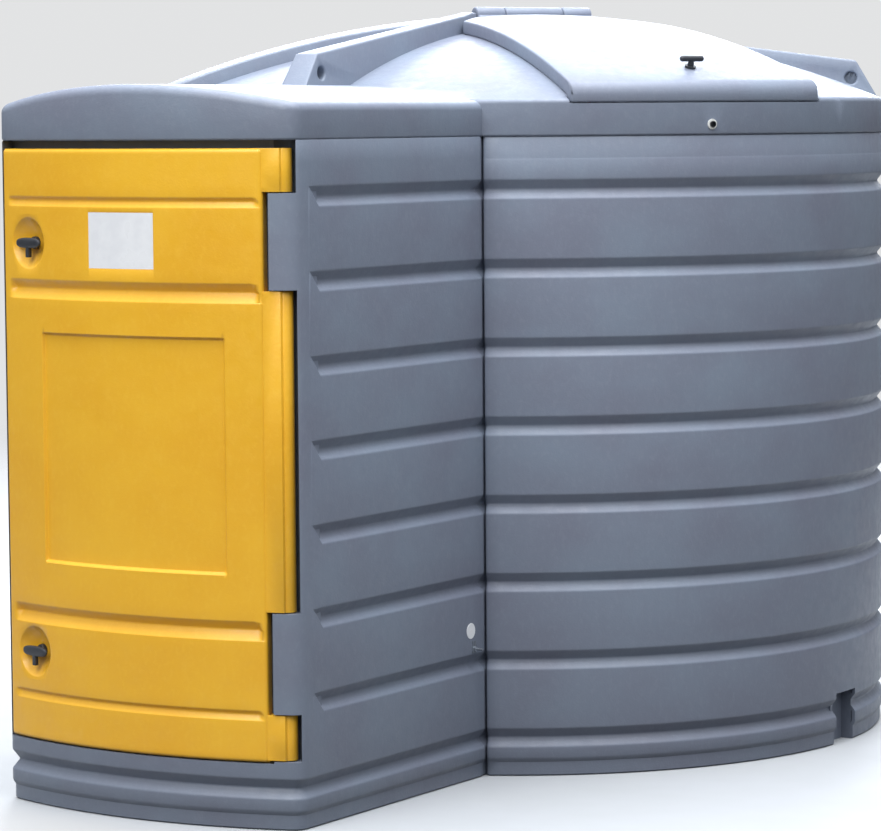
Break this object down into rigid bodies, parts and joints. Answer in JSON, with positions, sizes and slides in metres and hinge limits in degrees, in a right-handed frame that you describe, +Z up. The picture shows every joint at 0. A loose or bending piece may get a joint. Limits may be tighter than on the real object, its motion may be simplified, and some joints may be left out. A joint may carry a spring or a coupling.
{
  "type": "double-walled diesel tank",
  "caption": "Round grooved double-walled fuel tank with a bowed hinged door, dispensing equipment in a front cabinet, a roof hatch and lifting ears.",
  "frame": {"origin": "on the floor under the middle of the whole tank", "axes": "+Z up; the door faces -Y; +X is the door's hinge side, which is the side with the earthing stud"},
  "size_m": [2.13, 2.9928, 2.077],
  "materials": {
    "tank_plastic": "grey rotomoulded polyethylene, fine matt texture",
    "inner_plastic": "dark grey rotomoulded polyethylene",
    "door_plastic": "yellow rotomoulded polyethylene, satin",
    "handle_plastic": "dark grey moulded nylon",
    "zinc_steel": "zinc-plated steel",
    "black_steel": "black oxide steel",
    "pale_washer": "white nylon",
    "rubber": "black rubber",
    "cast_aluminium": "cast aluminium, sand grain",
    "cast_iron": "grey enamelled casting",
    "motor_paint": "blue-grey painted aluminium",
    "filter_paint": "white painted steel can",
    "brass": "machined brass",
    "clear": "clear plastic",
    "red_plastic": "red moulded plastic",
    "pipe_plastic": "black polyethylene pipe"
  },
  "bodies": {
    "root": {"outer_tank": "tank_plastic", "inner_tank": "inner_plastic", "roof_cover": "tank_plastic", "roof_bolts": "black_steel", "roof_washers": "pale_washer", "roof_nuts": "zinc_steel", "hatch_hinge_rod": "zinc_steel", "door_hinge_rod": "zinc_steel", "manhole_gasket": "rubber", "manhole_lid": "cast_aluminium", "manhole_bolts": "zinc_steel", "fill_coupling": "cast_aluminium", "vent_pipe": "zinc_steel", "vent_cap": "handle_plastic", "gauge_head": "handle_plastic", "gauge_window": "clear", "gauge_tube": "cast_aluminium", "suction_tube": "pipe_plastic", "foot_valve": "brass", "suction_pipe": "pipe_plastic", "pipe_grommet": "rubber", "filter_head": "cast_aluminium", "filter_canister": "filter_paint", "equipment_bracket": "zinc_steel", "bracket_bolts": "zinc_steel", "pump_nipple": "zinc_steel", "pump_body": "cast_iron", "pump_cover": "cast_aluminium", "pump_screws": "zinc_steel", "pump_motor": "motor_paint", "motor_fan_cover": "handle_plastic", "terminal_box": "handle_plastic", "flow_meter": "cast_aluminium", "meter_register": "handle_plastic", "hose_tail": "brass", "nozzle_holder": "handle_plastic", "nozzle_spout": "cast_aluminium", "nozzle_body": "rubber", "nozzle_guard": "zinc_steel", "earth_stud": "zinc_steel", "earth_tab": "zinc_steel"},
    "door_leaf": {"door": "door_plastic"},
    "upper_latch": {"upper_door_handle": "handle_plastic", "upper_door_cam": "zinc_steel"},
    "lower_latch": {"lower_door_handle": "handle_plastic", "lower_door_cam": "zinc_steel"},
    "hatch": {"hatch_cover": "tank_plastic"},
    "hatch_latch": {"hatch_handle": "handle_plastic", "hatch_cam": "zinc_steel"},
    "filler_cap": {"fill_cap": "red_plastic"},
    "level_float": {"gauge_float": "handle_plastic"},
    "level_pointer": {"gauge_pointer": "red_plastic"},
    "switch": {"pump_switch": "red_plastic"},
    "counter_knob": {"meter_knob": "handle_plastic"},
    "trigger": {"nozzle_trigger": "cast_aluminium"}
  },
  "joints": [
    {"name": "door_swing", "type": "hinge", "parent": "root", "child": "door_leaf", "pos_m": [0.415, -1.39037, 0.93], "axis": [0, 0, 1], "range_deg": [0, 105]},
    {"name": "upper_door_turn", "type": "hinge", "parent": "door_leaf", "child": "upper_latch", "pos_m": [-0.34, -1.44688, 1.45], "axis": [0.2608, 0.9654, 0], "range_deg": [0, 90]},
    {"name": "lower_door_turn", "type": "hinge", "parent": "door_leaf", "child": "lower_latch", "pos_m": [-0.34, -1.44688, 0.399], "axis": [0.2608, 0.9654, 0], "range_deg": [0, 90]},
    {"name": "hatch_lift", "type": "hinge", "parent": "root", "child": "hatch", "pos_m": [0.07621, 0.383, 2.055], "axis": [-0.5, -0.866, 0], "range_deg": [0, 100]},
    {"name": "hatch_turn", "type": "hinge", "parent": "hatch", "child": "hatch_latch", "pos_m": [0.82705, -0.0505, 1.88933], "axis": [0.2967, -0.1713, 0.9395], "range_deg": [0, 90]},
    {"name": "fill_cap_lift", "type": "slide", "parent": "root", "child": "filler_cap", "axis": [0, 0, 1], "range_m": [0, 0.09]},
    {"name": "float_travel", "type": "slide", "parent": "root", "child": "level_float", "axis": [0, 0, 1], "range_m": [0, 1.25]},
    {"name": "pointer_turn", "type": "hinge", "parent": "root", "child": "level_pointer", "pos_m": [0.57944, 0.19061, 1.79], "axis": [0, 0, 1], "range_deg": [-271, 0]},
    {"name": "pump_switch_turn", "type": "hinge", "parent": "root", "child": "switch", "pos_m": [0, -0.826, 1.224], "axis": [0, -1, 0], "range_deg": [0, 90]},
    {"name": "counter_reset", "type": "hinge", "parent": "root", "child": "counter_knob", "pos_m": [0.208, -0.964, 1.14], "axis": [1, 0, 0], "continuous": true},
    {"name": "trigger_squeeze", "type": "hinge", "parent": "root", "child": "trigger", "pos_m": [-0.352, -0.957, 1.079], "axis": [-1, 0, 0], "range_deg": [0, 10], "stiffness_Nm_per_rad": 3}
  ],
  "couplings": [
    {"joint": "pointer_turn", "follows": "float_travel", "rad_per_m": -3.7699}
  ]
}
